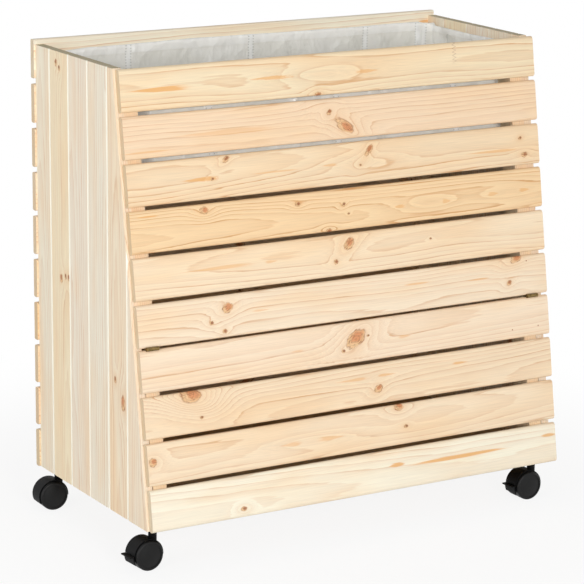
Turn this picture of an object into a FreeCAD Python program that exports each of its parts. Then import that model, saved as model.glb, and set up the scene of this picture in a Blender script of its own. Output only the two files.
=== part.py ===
import FreeCAD, Part
import math
import os

Vector = FreeCAD.Vector

# Slats
slat_length = 790.0
front_slat_width = 68.4
rear_slat_width = 65.0
slat_thickness = 12.0
front_edge_radius = 6.0
rear_edge_radius = 3.0
front_gap = 6.1
hinge_gap = 3.65            # between the fixed slats and the flap
fixed_slat_count = 6
flap_slat_count = 4
rear_slat_count = 10
front_slat_shift = 4.5      # front slats sit this far to the right
rear_slat_shift = 3.0       # rear slats sit this far to the left
rear_rise = 8.5             # rear slats stand this far above the side walls

# Body, outside of the rear slats to the front face of the front slats
top_depth = 305.0
bottom_depth = 417.0

# Side boards
board_thickness = 15.0
board_cover = 69.5
rim_strip = 20.0            # what the slope leaves, at the rim, of the first board that it cuts
least_board_cover = 15.0    # narrowest strip left for the rear board
slope_board_count = 2
vee_depth = 2.5
inner_ease = 0.6            # eased board edges on the inside
tongue_length = 5.0
tongue_thickness = 4.0
tongue_clearance = 0.2
board_edge_gap = 0.3        # between the boards' front edges and the front slats

# Battens
batten_width = 24.0
batten_depth = 36.0
rear_batten_size = 20.0
batten_drop = 14.0          # batten tops below the rim
flap_side_clearance = 1.5
flap_floor_clearance = 6.0

# Planting tray and base
tray_depth = 185.0
tray_thickness = 12.0
cleat_width = 20.0
cleat_height = 25.0
base_thickness = 24.0
base_front_clearance = 1.5
liner_thickness = 1.5
liner_clearance = 0.3
liner_drop = 7.0            # liner hem below the rim

# Flap hinges
hinge_set_back = 0.0        # pins behind the plane of the front faces
hinge_margin = 0.25         # hinge ends inside the batten edges
knuckle_room = 0.5          # knuckles to the rounded slat edges
knuckle_gap = 0.3
hinge_pin_radius = 1.5
leaf_thickness = 1.2
leaf_gap = 0.8
leaf_margin = 12.0          # leaves end this far before the batten backs
screw_radius = 1.5
screw_head_radius = 2.8
screw_length = 14.0

# Casters
stem_side_margin = 4.0      # wood between a stem and the side wall
stem_front_margin = 17.0    # wood in front of the front stems
stem_rear_margin = 16.0     # wood behind the rear stems
stem_cover = 4.0            # wood above a stem
stem_radius = 4.0
collar_radius = 6.5
collar_thickness = 1.5
caster_turn = {"front_left": 4.0, "front_right": 1.0, "rear_left": -2.0, "rear_right": -5.0}
caster_trail = 15.5
neck_radius = 7.0
neck_rise = 16.9            # hood crown to the underside of the body
wheel_radius = 25.0
wheel_width = 15.0
wheel_spacing = 9.0         # between the two wheels of a pair
wheel_edge = 1.5
wheel_shoulder = 3.5        # rounding of a wheel's outer edge
wheel_rim_width = 4.5
wheel_ring_depth = 0.8
wheel_ring_width = 1.2
wheel_dome = 1.6
stub_radius = 4.0
boss_radius = 7.0
hood_clearance = 0.6
hood_wall = 1.6
hood_set_in = 5.0           # wheels stand this far out of the hood
hood_skirt = 2.0            # hood reaches this far below the axle at its front
hood_tail = 12.0            # and this far at its back, on a caster with no brake
web_clearance = 1.0         # web to each wheel
fin_thickness = 3.0
running_clearance = 0.05
face_clearance = 0.3

# Brake pedals on the front casters
pedal_clearance = 2.0
pedal_thickness = 2.0
pedal_rise = 2.5            # pedal top above the axle
pedal_drop = 12.0           # pedal bottom below the axle
pedal_side = 0.5            # pedal narrower than the hood, each side
pedal_gap = 0.8             # hood to the pedal below it
pedal_tab_length = 6.0
pivot_back = 14.0           # pivot behind the axle
pivot_drop = 5.0            # pivot below the axle
pivot_radius = 1.5
pivot_boss_radius = 3.2
arm_clearance = 0.5         # pedal arms to the wheels
arm_height = 6.0

# Sizes that follow
hood_inner = wheel_radius + hood_clearance
hood_outer = hood_inner + hood_wall
hood_crown = wheel_radius + hood_outer
body_bottom = hood_crown + neck_rise
front_pitch = front_slat_width + front_gap
front_slat_count = fixed_slat_count + flap_slat_count
flap_rise = front_gap - hinge_gap
front_length = front_slat_count * front_pitch - front_gap - flap_rise
slope = math.asin((bottom_depth - top_depth) / front_length)
body_height = front_length * math.cos(slope)
rim = body_bottom + body_height
rear_gap = (body_height + rear_rise - rear_slat_count * rear_slat_width) / (rear_slat_count - 1)
wall_outer = slat_length / 2
wall_inner = wall_outer - board_thickness
widest_round = slat_thickness / 2 - face_clearance
front_round = min(front_edge_radius, widest_round)
rear_round = min(rear_edge_radius, widest_round)
vee = min(vee_depth, (board_thickness - tongue_thickness) / 2 - tongue_clearance - face_clearance)
hinge_line = fixed_slat_count * front_pitch - front_gap + hinge_gap / 2
hinge_length = batten_width - flap_side_clearance - 2 * hinge_margin
hinge_middle = wall_inner - flap_side_clearance - hinge_margin - hinge_length / 2
# The knuckles lie between two rounded slat edges
knuckle_reach = math.hypot(front_round - hinge_set_back, front_round + hinge_gap / 2)
knuckle_radius = knuckle_reach - front_round - knuckle_room
leaf_seat = batten_depth - leaf_margin
base_top = body_bottom + base_thickness
tray_top = rim - tray_depth
tray_bottom = tray_top - tray_thickness
reach = 3 * slat_length     # larger than the whole object


def box(x0, x1, y0, y1, z0, z1):
    return Part.makeBox(x1 - x0, y1 - y0, z1 - z0, Vector(x0, y0, z0))


def cylinder_x(radius, x0, x1, y, z):
    return Part.makeCylinder(radius, x1 - x0, Vector(x0, y, z), Vector(1, 0, 0))


def cylinder_y(radius, y0, y1, x, z):
    return Part.makeCylinder(radius, y1 - y0, Vector(x, y0, z), Vector(0, 1, 0))


def cylinder_z(radius, z0, z1, x, y):
    return Part.makeCylinder(radius, z1 - z0, Vector(x, y, z0), Vector(0, 0, 1))


def prism(points, z0, z1):
    outline = [Vector(x, y, z0) for x, y in points]
    face = Part.Face(Part.makePolygon(outline + outline[:1]))
    return face.extrude(Vector(0, 0, z1 - z0))


def mirrored(shape):
    return shape.mirror(Vector(0, 0, 0), Vector(1, 0, 0))


# The front wall is drawn upright, rim edge on the X axis and its back towards +Y, then leaned
def lean(shape):
    placed = shape.copy()
    placed.rotate(Vector(0, 0, 0), Vector(1, 0, 0), -math.degrees(slope))
    placed.translate(Vector(0, -top_depth, rim))
    return placed


# Depth coordinate, at height z, of a plane that lies this far behind the front face
def front_y(z, behind):
    return -top_depth + behind / math.cos(slope) - (rim - z) * math.tan(slope)


base_front = front_y(base_top, slat_thickness) + base_front_clearance
# The side walls' ends, as distances from the rear face
wall_start = slat_thickness
rim_end = -front_y(rim, slat_thickness + board_edge_gap)
wall_end = -front_y(body_bottom, slat_thickness + board_edge_gap)


def slat(x_shift, y0, top, width, rounding):
    x0 = x_shift - slat_length / 2
    blank = box(x0, x0 + slat_length, y0, y0 + slat_thickness, top - width, top)
    long_edges = [edge for edge in blank.Edges if edge.Length > slat_length - face_clearance]
    return blank.makeFillet(rounding, long_edges)


def front_slat(index):
    top = -index * front_pitch
    if index >= fixed_slat_count:
        top += flap_rise
    return lean(slat(front_slat_shift, 0, top, front_slat_width, front_round))


def rear_slat(index):
    top = rim + rear_rise - index * (rear_slat_width + rear_gap)
    return slat(-rear_slat_shift, -slat_thickness, top, rear_slat_width, rear_round)


# Outline of one left-hand side board, seen from above, from its rear edge to its front edge
def board_outline(start, end):
    middle = board_thickness / 2
    tongue = tongue_thickness / 2
    groove = tongue + tongue_clearance
    groove_depth = tongue_length + tongue_clearance
    eased = board_thickness - inner_ease
    front_side = [(0, end - vee), (vee, end), (middle - tongue, end),
                  (middle - tongue, end + tongue_length), (middle + tongue, end + tongue_length),
                  (middle + tongue, end), (eased, end), (board_thickness, end - inner_ease)]
    if start == wall_start:
        rear_side = [(board_thickness, start), (0, start)]
    else:
        rear_side = [(board_thickness, start + inner_ease), (eased, start), (middle + groove, start),
                     (middle + groove, start + groove_depth), (middle - groove, start + groove_depth),
                     (middle - groove, start), (vee, start), (0, start + vee)]
    outline = front_side + rear_side
    return [(depth - wall_outer, -run) for depth, run in outline]


# Oblong boards, from the front one to the rear one, which is cut to fit
def oblong_board_spans():
    front = rim_end - rim_strip
    spans = []
    while front - board_cover > wall_start + least_board_cover:
        spans.append((front - board_cover, front))
        front -= board_cover
    return spans + [(wall_start, front)]


# Boards cut by the slope share its run evenly, and the foremost is drawn past it
def slope_board_spans():
    start = rim_end - rim_strip
    cover = (wall_end - start) / slope_board_count
    edges = [start + index * cover for index in range(slope_board_count)]
    return list(zip(edges, edges[1:] + [wall_end + board_cover]))


def side_board(span):
    beyond_front = lean(box(-reach, reach, -reach, slat_thickness + board_edge_gap, -reach, reach))
    return prism(board_outline(*span), body_bottom, rim).cut(beyond_front)


def leaning_batten(x0, x1, from_rim, to_rim, z0, z1):
    bar = box(x0, x1, slat_thickness, slat_thickness + batten_depth, -to_rim, -from_rim)
    return lean(bar).common(box(-reach, reach, -reach, reach, z0, z1))


def fixed_batten():
    end = hinge_line - leaf_gap / 2 - leaf_thickness
    bar = leaning_batten(wall_inner - batten_width, wall_inner, -batten_depth, end, 0, rim - batten_drop)
    return bar.cut(Part.makeCompound([lean(hole) for hole in hinge_screws(1, running_clearance)]))


def flap_batten():
    start = hinge_line + leaf_gap / 2 + leaf_thickness
    x1 = wall_inner - flap_side_clearance
    lowest = base_top + flap_floor_clearance
    bar = leaning_batten(x1 - batten_width, x1, start, 2 * front_length, lowest, rim)
    return bar.cut(Part.makeCompound([lean(hole) for hole in hinge_screws(-1, running_clearance)]))


def rear_batten():
    y1 = -slat_thickness
    return box(wall_inner - rear_batten_size, wall_inner, y1 - rear_batten_size, y1,
               base_top, rim - batten_drop)


def tray_cleat():
    rear = -slat_thickness - rear_batten_size
    front = front_y(tray_bottom, slat_thickness + batten_depth)
    return box(wall_inner - cleat_width, wall_inner, front, rear, tray_bottom - cleat_height, tray_bottom)


# The tray floor is notched round the rear battens
def tray_floor():
    rear = -slat_thickness
    front = front_y(tray_top, slat_thickness + batten_depth)
    panel = box(-wall_inner, wall_inner, front, rear, tray_bottom, tray_top)
    notch = rear_batten()
    return panel.cut(notch).cut(mirrored(notch))


def base_board():
    board = box(-wall_inner, wall_inner, base_front, -slat_thickness, body_bottom, base_top)
    holes = [cylinder_z(stem_radius + running_clearance, body_bottom, base_top - stem_cover, x, y)
             for x, y in stem_places().values()]
    return board.cut(Part.makeCompound(holes))


# A block that fills the tray, each face this far in from the wood
def tray_fill(inset, floor, top):
    clear_front = slat_thickness + batten_depth + inset
    x1 = wall_inner - inset
    block = box(-x1, x1, -reach, -slat_thickness - inset, floor, top)
    post_x = wall_inner - rear_batten_size - inset
    post_y = -slat_thickness - rear_batten_size - inset
    post = box(post_x, reach, post_y, reach, 0, reach)
    in_front = lean(box(-reach, reach, -reach, clear_front, -reach, reach))
    return block.cut(post).cut(mirrored(post)).cut(in_front)


def liner():
    outside = tray_fill(liner_clearance, tray_top + liner_clearance, rim - liner_drop)
    floor = tray_top + liner_clearance + liner_thickness
    inside = tray_fill(liner_clearance + liner_thickness, floor, rim)
    return outside.cut(inside)


# One hinge leaf on the upright front wall: sense 1 is the fixed leaf with two knuckles,
# sense -1 the flap leaf with one knuckle between them
def hinge_leaf(sense):
    middle = hinge_middle
    half = hinge_length / 2
    knuckle = hinge_length / 3 / 2
    axis_z = -hinge_line
    near_z = axis_z + sense * leaf_gap / 2
    far_z = near_z + sense * leaf_thickness
    z0, z1 = min(near_z, far_z), max(near_z, far_z)
    plate_y = hinge_set_back + knuckle_radius + knuckle_gap
    leaf = box(middle - half, middle + half, plate_y, slat_thickness + leaf_seat, z0, z1)
    if sense > 0:
        spans = [(-half, -knuckle - knuckle_gap), (knuckle + knuckle_gap, half)]
        bore = hinge_pin_radius
    else:
        spans = [(-knuckle, knuckle)]
        bore = hinge_pin_radius + running_clearance
    for x0, x1 in spans:
        barrel = cylinder_x(knuckle_radius, middle + x0, middle + x1, hinge_set_back, axis_z)
        tab = box(middle + x0, middle + x1, hinge_set_back, plate_y, z0, z1)
        leaf = leaf.fuse(barrel).fuse(tab)
    leaf = leaf.cut(cylinder_x(bore, middle - half, middle + half, hinge_set_back, axis_z))
    return leaf.cut(Part.makeCompound(hinge_screws(sense, running_clearance))).removeSplitter()


def hinge_pin():
    half = hinge_length / 2
    return cylinder_x(hinge_pin_radius, hinge_middle - half, hinge_middle + half,
                      hinge_set_back, -hinge_line)


def hinge_screw(x, sense, clearance):
    y = slat_thickness + leaf_seat / 2
    start = Vector(x, y, -hinge_line + sense * leaf_gap / 2)
    direction = Vector(0, 0, sense)
    head = Part.makeCone(screw_head_radius + clearance, screw_radius + clearance, leaf_thickness,
                         start, direction)
    shank = Part.makeCylinder(screw_radius + clearance, screw_length + leaf_thickness, start, direction)
    return head.fuse(shank).removeSplitter()


# The two screws of a leaf, or with a clearance the holes for them
def hinge_screws(sense, clearance):
    spread = hinge_length / 4
    return [hinge_screw(hinge_middle + offset, sense, clearance) for offset in (-spread, spread)]


def both_sides(shapes):
    placed = [lean(shape) for shape in shapes]
    return Part.makeCompound(placed + [mirrored(shape) for shape in placed])


# Stem axes in plan
def stem_places():
    x = wall_inner - stem_side_margin - stem_radius
    front = base_front + stem_front_margin + stem_radius
    rear = -slat_thickness - stem_rear_margin - stem_radius
    return {"front_left": (-x, front), "front_right": (x, front),
            "rear_left": (-x, rear), "rear_right": (x, rear)}


# Casters are drawn with the stem on the Z axis, the floor at zero and the wheels trailing to -X
axle_x = -caster_trail
axle_z = wheel_radius
wheel_inner = wheel_spacing / 2
wheel_outer = wheel_inner + wheel_width
hood_half = wheel_outer - hood_set_in
neck_top = body_bottom - collar_thickness - face_clearance
pivot_x = axle_x - pivot_back
pivot_z = axle_z - pivot_drop


def caster_stem():
    rod = cylinder_z(stem_radius, hood_crown + face_clearance, base_top - stem_cover, 0, 0)
    collar = cylinder_z(collar_radius, body_bottom - collar_thickness, body_bottom, 0, 0)
    return rod.fuse(collar).removeSplitter()


# The hood is open below, and above the pedal on a caster with a brake
def hood_arch(braked):
    full = cylinder_y(hood_outer, -hood_half, hood_half, axle_x, axle_z)
    hollow = cylinder_y(hood_inner, -hood_half, hood_half, axle_x, axle_z)
    tail = axle_z + pedal_rise + pedal_gap if braked else axle_z - hood_tail
    front_open = box(axle_x, reach, -reach, reach, -reach, axle_z - hood_skirt)
    rear_open = box(-reach, axle_x, -reach, reach, -reach, tail)
    return full.cut(hollow).cut(front_open).cut(rear_open)


# Web between the wheels, with the axle boss
def hood_web():
    half = wheel_inner - web_clearance
    plate = cylinder_y(hood_inner + hood_wall / 2, -half, half, axle_x, axle_z)
    kept = box(axle_x - boss_radius, reach, -reach, reach, axle_z - boss_radius, reach)
    boss_half = wheel_inner - face_clearance
    boss = cylinder_y(boss_radius, -boss_half, boss_half, axle_x, axle_z)
    return plate.common(kept).fuse(boss)


# Fin on the web that carries the brake pivot
def brake_fin():
    half = fin_thickness / 2
    fin = box(pivot_x - pivot_boss_radius, axle_x, -half, half,
              pivot_z - pivot_boss_radius, axle_z + boss_radius)
    return fin.cut(cylinder_y(pivot_radius + running_clearance, -half, half, pivot_x, pivot_z))


def caster_hood(braked):
    neck = cylinder_z(neck_radius, axle_z, neck_top, 0, 0)
    neck = neck.cut(cylinder_y(hood_inner, -hood_half, hood_half, axle_x, axle_z))
    hood = hood_arch(braked).fuse(hood_web()).fuse(neck)
    if braked:
        hood = hood.fuse(brake_fin())
    hood = hood.cut(cylinder_y(stub_radius + running_clearance, -hood_half, hood_half, axle_x, axle_z))
    bore = cylinder_z(stem_radius + running_clearance, hood_crown, neck_top, 0, 0)
    return hood.cut(bore).removeSplitter()


# Half section of one wheel, radius along X and axle along Y, turned about the axle
def caster_wheel():
    ring_out = wheel_radius - wheel_rim_width
    ring_in = ring_out - wheel_ring_width
    ring_floor = wheel_outer - wheel_ring_depth
    rise = wheel_ring_depth + wheel_dome
    dome_radius = (ring_in ** 2 + rise ** 2) / (2 * rise)
    half_way = math.asin(ring_in / dome_radius) / 2
    top = Vector(0, ring_floor + rise, 0)
    middle = Vector(dome_radius * math.sin(half_way), top.y - dome_radius * (1 - math.cos(half_way)), 0)
    shoulder_x = wheel_radius - wheel_shoulder
    shoulder_y = wheel_outer - wheel_shoulder
    bend = wheel_shoulder * math.sqrt(0.5)
    bend_middle = Vector(shoulder_x + bend, shoulder_y + bend, 0)
    tread = [(0, face_clearance / 2), (stub_radius, face_clearance / 2), (stub_radius, wheel_inner),
             (wheel_radius - wheel_edge, wheel_inner), (wheel_radius, wheel_inner + wheel_edge),
             (wheel_radius, shoulder_y)]
    ring = [(shoulder_x, wheel_outer), (ring_out, wheel_outer), (ring_out, ring_floor), (ring_in, ring_floor)]
    tread_corners = [Vector(x, y, 0) for x, y in tread]
    ring_corners = [Vector(x, y, 0) for x, y in ring]
    edges = list(Part.makePolygon(tread_corners).Edges)
    edges.append(Part.Arc(tread_corners[-1], bend_middle, ring_corners[0]).toShape())
    edges.extend(Part.makePolygon(ring_corners).Edges)
    edges.append(Part.Arc(ring_corners[-1], middle, top).toShape())
    edges.append(Part.makeLine(top, tread_corners[0]))
    section = Part.Face(Part.Wire(edges))
    wheel = section.revolve(Vector(0, 0, 0), Vector(0, 1, 0), 360)
    wheel.translate(Vector(axle_x, 0, axle_z))
    return wheel


def wheel_pair():
    near = caster_wheel()
    return Part.makeCompound([near, near.mirror(Vector(0, 0, 0), Vector(0, 1, 0))])


def brake_pedal():
    inner = wheel_radius + pedal_clearance
    outer = inner + pedal_thickness
    half = hood_half - pedal_side
    shell = cylinder_y(outer, -half, half, axle_x, axle_z)
    shell = shell.cut(cylinder_y(inner, -half, half, axle_x, axle_z))
    top = axle_z + pedal_rise
    pedal = shell.common(box(-reach, axle_x, -reach, reach, axle_z - pedal_drop, top))
    pedal = pedal.fuse(box(axle_x - outer - pedal_tab_length, axle_x - inner - pedal_thickness / 2,
                           -half, half, top - pedal_thickness, top))
    arm_in = fin_thickness / 2 + face_clearance
    arm_out = wheel_inner - arm_clearance
    for y0, y1 in ((arm_in, arm_out), (-arm_out, -arm_in)):
        arm = box(axle_x - inner - pedal_thickness / 2, pivot_x, y0, y1,
                  pivot_z - arm_height / 2, pivot_z + arm_height / 2)
        boss = cylinder_y(pivot_boss_radius, y0, y1, pivot_x, pivot_z)
        pedal = pedal.fuse(arm).fuse(boss)
    for y0, y1 in ((face_clearance / 2, arm_in), (-arm_in, -face_clearance / 2)):
        pedal = pedal.fuse(cylinder_y(pivot_radius, y0, y1, pivot_x, pivot_z))
    return pedal.removeSplitter()


def place_caster(shape, corner):
    placed = shape.copy()
    placed.rotate(Vector(0, 0, 0), Vector(0, 0, 1), caster_turn[corner])
    x, y = stem_places()[corner]
    placed.translate(Vector(x, y, 0))
    return placed


def wooden_nodes():
    nodes = {}
    for index in range(front_slat_count):
        if index < fixed_slat_count:
            nodes[f"front_slat_{index + 1}"] = front_slat(index)
        else:
            nodes[f"flap_slat_{index + 1 - fixed_slat_count}"] = front_slat(index)
    for index in range(rear_slat_count):
        nodes[f"rear_slat_{index + 1}"] = rear_slat(index)
    for kind, spans in (("board", oblong_board_spans()), ("slope_board", slope_board_spans())):
        for index, span in enumerate(spans):
            board = side_board(span)
            nodes[f"left_{kind}_{index + 1}"] = board
            nodes[f"right_{kind}_{index + 1}"] = mirrored(board)
    paired = {"front_batten": fixed_batten(), "flap_batten": flap_batten(),
              "rear_batten": rear_batten(), "tray_cleat": tray_cleat()}
    for name, piece in paired.items():
        nodes[f"{name}_right"] = piece
        nodes[f"{name}_left"] = mirrored(piece)
    nodes["tray_floor"] = tray_floor()
    nodes["base_board"] = base_board()
    return nodes


def hinge_nodes():
    return {"hinge_fixed_leaves": both_sides([hinge_leaf(1)]),
            "hinge_flap_leaves": both_sides([hinge_leaf(-1)]),
            "hinge_pins": both_sides([hinge_pin()]),
            "hinge_fixed_screws": both_sides(hinge_screws(1, 0)),
            "hinge_flap_screws": both_sides(hinge_screws(-1, 0))}


def caster_nodes():
    stem, wheels, pedal = caster_stem(), wheel_pair(), brake_pedal()
    nodes = {"caster_stems": Part.makeCompound([place_caster(stem, corner) for corner in caster_turn])}
    for corner in caster_turn:
        braked = corner.startswith("front")
        nodes[f"caster_{corner}_hood"] = place_caster(caster_hood(braked), corner)
        nodes[f"caster_{corner}_wheels"] = place_caster(wheels, corner)
        if braked:
            nodes[f"caster_{corner}_brake"] = place_caster(pedal, corner)
    return nodes


# The origin lies on the floor, under the middle of the outside box
def centred(nodes):
    outside = Part.makeCompound(list(nodes.values())).optimalBoundingBox(False, False)
    shift = Vector(-outside.Center.x, -outside.Center.y, 0)
    for shape in nodes.values():
        shape.translate(shift)
    print("origin moved by", round(shift.x, 4), round(shift.y, 4))
    return nodes


all_nodes = {**wooden_nodes(), "liner": liner(), **hinge_nodes(), **caster_nodes()}
os.makedirs("parts", exist_ok=True)
for name, shape in centred(all_nodes).items():
    shape.exportStep(f"parts/{name}.step")
    if not shape.isValid():
        print("not valid:", name)
print(len(all_nodes), "nodes written")
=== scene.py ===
import math
import bmesh
import bpy
from mathutils import Matrix, Vector, noise


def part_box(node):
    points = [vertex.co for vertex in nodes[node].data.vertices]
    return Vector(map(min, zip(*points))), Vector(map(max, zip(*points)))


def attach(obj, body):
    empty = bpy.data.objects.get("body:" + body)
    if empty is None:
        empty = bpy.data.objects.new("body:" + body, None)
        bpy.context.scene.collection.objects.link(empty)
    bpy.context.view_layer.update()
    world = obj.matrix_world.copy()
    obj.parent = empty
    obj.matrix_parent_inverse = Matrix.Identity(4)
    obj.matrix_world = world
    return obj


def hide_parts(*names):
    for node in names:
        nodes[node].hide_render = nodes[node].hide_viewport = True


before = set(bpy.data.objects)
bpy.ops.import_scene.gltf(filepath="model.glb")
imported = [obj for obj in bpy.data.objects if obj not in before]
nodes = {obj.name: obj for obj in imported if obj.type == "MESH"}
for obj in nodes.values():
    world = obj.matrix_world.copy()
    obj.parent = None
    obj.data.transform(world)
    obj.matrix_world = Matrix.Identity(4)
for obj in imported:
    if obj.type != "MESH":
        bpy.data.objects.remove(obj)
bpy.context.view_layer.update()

mm = 0.001
print("frame loaded,", len(nodes), "nodes")


# small helpers for shader trees

def srgb(red, green, blue):
    def linear(value):
        part = value / 255
        return part / 12.92 if part <= 0.04045 else ((part + 0.055) / 1.055) ** 2.4
    return (linear(red), linear(green), linear(blue), 1.0)


def addNode(tree, kind, inputs=None, **settings):
    made = tree.nodes.new(kind)
    for name, value in settings.items():
        setattr(made, name, value)
    for socket, value in (inputs or {}).items():
        if isinstance(value, bpy.types.NodeSocket):
            tree.links.new(value, made.inputs[socket])
        else:
            made.inputs[socket].default_value = value
    return made


def calc(tree, operation, *values):
    return addNode(tree, "ShaderNodeMath", dict(enumerate(values)), operation=operation).outputs[0]


def vecCalc(tree, operation, *values):
    made = addNode(tree, "ShaderNodeVectorMath", dict(enumerate(values)), operation=operation)
    return made.outputs["Value"] if operation == "LENGTH" else made.outputs["Vector"]


def smoothStep(tree, value, low, high):
    made = addNode(tree, "ShaderNodeMapRange", {"Value": value, "From Min": low, "From Max": high},
                   interpolation_type="SMOOTHSTEP")
    return made.outputs["Result"]


def fadeOut(tree, value, low, high):
    return calc(tree, "SUBTRACT", 1.0, smoothStep(tree, value, low, high))


def bell(tree, value, fall=1.0):
    return calc(tree, "EXPONENT", calc(tree, "MULTIPLY", calc(tree, "MULTIPLY", value, value), -fall))


def centred(tree, value, size, span=1.0):
    # a value between 0 and its span, spread evenly round zero
    return calc(tree, "MULTIPLY_ADD", value, size, -size * span / 2)


def splitXyz(tree, vector):
    return addNode(tree, "ShaderNodeSeparateXYZ", {0: vector}).outputs


def joinXyz(tree, *values):
    return addNode(tree, "ShaderNodeCombineXYZ", dict(enumerate(values))).outputs[0]


def mixColour(tree, amount, first, second, blend="MIX"):
    given = {0: amount, 6: first, 7: second}
    return addNode(tree, "ShaderNodeMix", given, data_type="RGBA", blend_type=blend).outputs[2]


def paint(tree, colour, amount, share, tone):
    return mixColour(tree, calc(tree, "MULTIPLY", amount, share), colour, tone)


def noiseAt(tree, point, scale, seed, detail=2.0):
    stretched = vecCalc(tree, "MULTIPLY", point, scale)
    given = {"Vector": stretched, "W": seed, "Scale": 1.0, "Detail": detail}
    return addNode(tree, "ShaderNodeTexNoise", given, noise_dimensions="4D").outputs[0]


def newGroup(name, takes, gives):
    group = bpy.data.node_groups.new(name, "ShaderNodeTree")
    kinds = {"v": "NodeSocketVector", "f": "NodeSocketFloat"}
    for label, kind in takes:
        group.interface.new_socket(name=label, in_out="INPUT", socket_type=kinds[kind])
    for label, kind in gives:
        group.interface.new_socket(name=label, in_out="OUTPUT", socket_type=kinds[kind])
    return group, group.nodes.new("NodeGroupInput").outputs, group.nodes.new("NodeGroupOutput").inputs


def useGroup(tree, group, inputs):
    return addNode(tree, "ShaderNodeGroup", inputs, node_tree=group).outputs


def startMaterial(name):
    material = bpy.data.materials.new(name)
    material.use_nodes = True
    tree = material.node_tree
    tree.nodes.clear()
    shader = addNode(tree, "ShaderNodeBsdfPrincipled")
    output = addNode(tree, "ShaderNodeOutputMaterial")
    tree.links.new(shader.outputs[0], output.inputs["Surface"])
    return material, tree, shader


def objectPoint(tree, place=(0, 0, 0), turn=(0, 0, 0)):
    # object coordinates in mm, measured from a place on the piece
    coords = addNode(tree, "ShaderNodeTexCoord").outputs["Object"]
    sizes = {"Vector": coords, "Location": place, "Rotation": turn, "Scale": (mm, mm, mm)}
    return addNode(tree, "ShaderNodeMapping", sizes, vector_type="TEXTURE").outputs[0]


def setBump(tree, shader, height, depth, strength=1.0):
    bump = addNode(tree, "ShaderNodeBump", {"Height": height, "Distance": depth, "Strength": strength})
    tree.links.new(bump.outputs[0], shader.inputs["Normal"])


def dress(name, material):
    mesh = nodes[name].data
    mesh.materials.clear()
    mesh.materials.append(material)


# pine: growth rings round a pith line, pushed aside by knots; sizes are in mm and scales per mm

knotShape = {
    "deep": 1000.0,                # a knot runs right through the plank
    "outline": (1.5, 1.5, 1.0),    # scale of the uneven outline, in radii
    "uneven": 0.9,
    "reach": (0.3, 0.42, 0.0),     # how soon the bent grain straightens, along and across
    "push": (0.0, -0.8, 0.0),      # how far the grain gives way
    "edge": (0.82, 1.08),
    "rim": 0.95,
    "rimSharpness": 9.0,
    "rimBreaks": (1.1, 1.1, 1.0),
    "rimBreakEdge": (0.35, 0.65),
    "rimSeed": 5.0,
    "haloFall": 0.4,
    "heart": (0.22, 0.12, 0.0),    # the heart sits to one side
    "heartUneven": 0.8,
    "heartEdge": (0.35, 0.85),
    "rings": 21.0,
    "ringShare": 0.16,
    "ringBase": 0.1,
    "streaks": (0.12, 0.6, 0.05),
    "streakEdge": (0.48, 0.68),
    "streakShare": 0.6,
    "seedStep": 0.37,
}


def makeKnotGroup():
    group, given, out = newGroup(
        "pine knot",
        [("Start", "v"), ("Point", "v"), ("Knot", "v"), ("Radius", "f"), ("Stretch", "f"), ("Tilt", "f"),
         ("Lift", "f"), ("Seed", "f")],
        [("Point", "v"), ("Core", "f"), ("Rim", "f"), ("Halo", "f"), ("Heart", "f"), ("Mottle", "f")])
    shape, seed = knotShape, given["Seed"]
    apart = vecCalc(group, "SUBTRACT", given["Start"], given["Knot"])
    turned = addNode(group, "ShaderNodeVectorRotate", {"Vector": apart, "Angle": given["Tilt"]},
                     rotation_type="Z_AXIS", invert=True).outputs[0]
    longRadius = calc(group, "MULTIPLY", given["Radius"], given["Stretch"])
    scaled = vecCalc(group, "DIVIDE", turned, joinXyz(group, longRadius, given["Radius"], shape["deep"]))
    ragged = noiseAt(group, scaled, shape["outline"], seed, 3.0)
    distance = calc(group, "ADD", vecCalc(group, "LENGTH", scaled), centred(group, ragged, shape["uneven"]))
    # the grain flows round the knot and rises over it
    near = bell(group, vecCalc(group, "LENGTH", vecCalc(group, "MULTIPLY", scaled, shape["reach"])))
    pushed = vecCalc(group, "MULTIPLY", apart, shape["push"])
    pushed = addNode(group, "ShaderNodeVectorMath", {0: pushed, "Scale": near}, operation="SCALE").outputs[0]
    raised = joinXyz(group, 0, 0, calc(group, "MULTIPLY", near, given["Lift"]))
    flowed = vecCalc(group, "ADD", vecCalc(group, "ADD", given["Point"], pushed), raised)
    # a dark rim with breaks in it
    offRim = calc(group, "MULTIPLY", calc(group, "SUBTRACT", distance, shape["rim"]), shape["rimSharpness"])
    breaks = noiseAt(group, scaled, shape["rimBreaks"], calc(group, "ADD", seed, shape["rimSeed"]), 2.0)
    rim = calc(group, "MULTIPLY", bell(group, offRim), smoothStep(group, breaks, *shape["rimBreakEdge"]))
    # an orange heart to one side, darker streaks along the knot, and its own rings
    offHeart = vecCalc(group, "LENGTH", vecCalc(group, "SUBTRACT", scaled, shape["heart"]))
    offHeart = calc(group, "ADD", offHeart, centred(group, ragged, shape["heartUneven"]))
    wave = calc(group, "SINE", calc(group, "MULTIPLY", distance, shape["rings"]))
    ring = calc(group, "MULTIPLY_ADD", wave, shape["ringShare"], shape["ringBase"])
    streak = smoothStep(group, noiseAt(group, turned, shape["streaks"], seed, 3.0), *shape["streakEdge"])
    made = {
        "Point": flowed,
        "Core": fadeOut(group, distance, *shape["edge"]),
        "Rim": rim,
        "Halo": bell(group, distance, shape["haloFall"]),
        "Heart": fadeOut(group, offHeart, *shape["heartEdge"]),
        "Mottle": calc(group, "MULTIPLY_ADD", streak, shape["streakShare"], ring),
    }
    for label, socket in made.items():
        group.links.new(socket, out[label])
    return group


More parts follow.
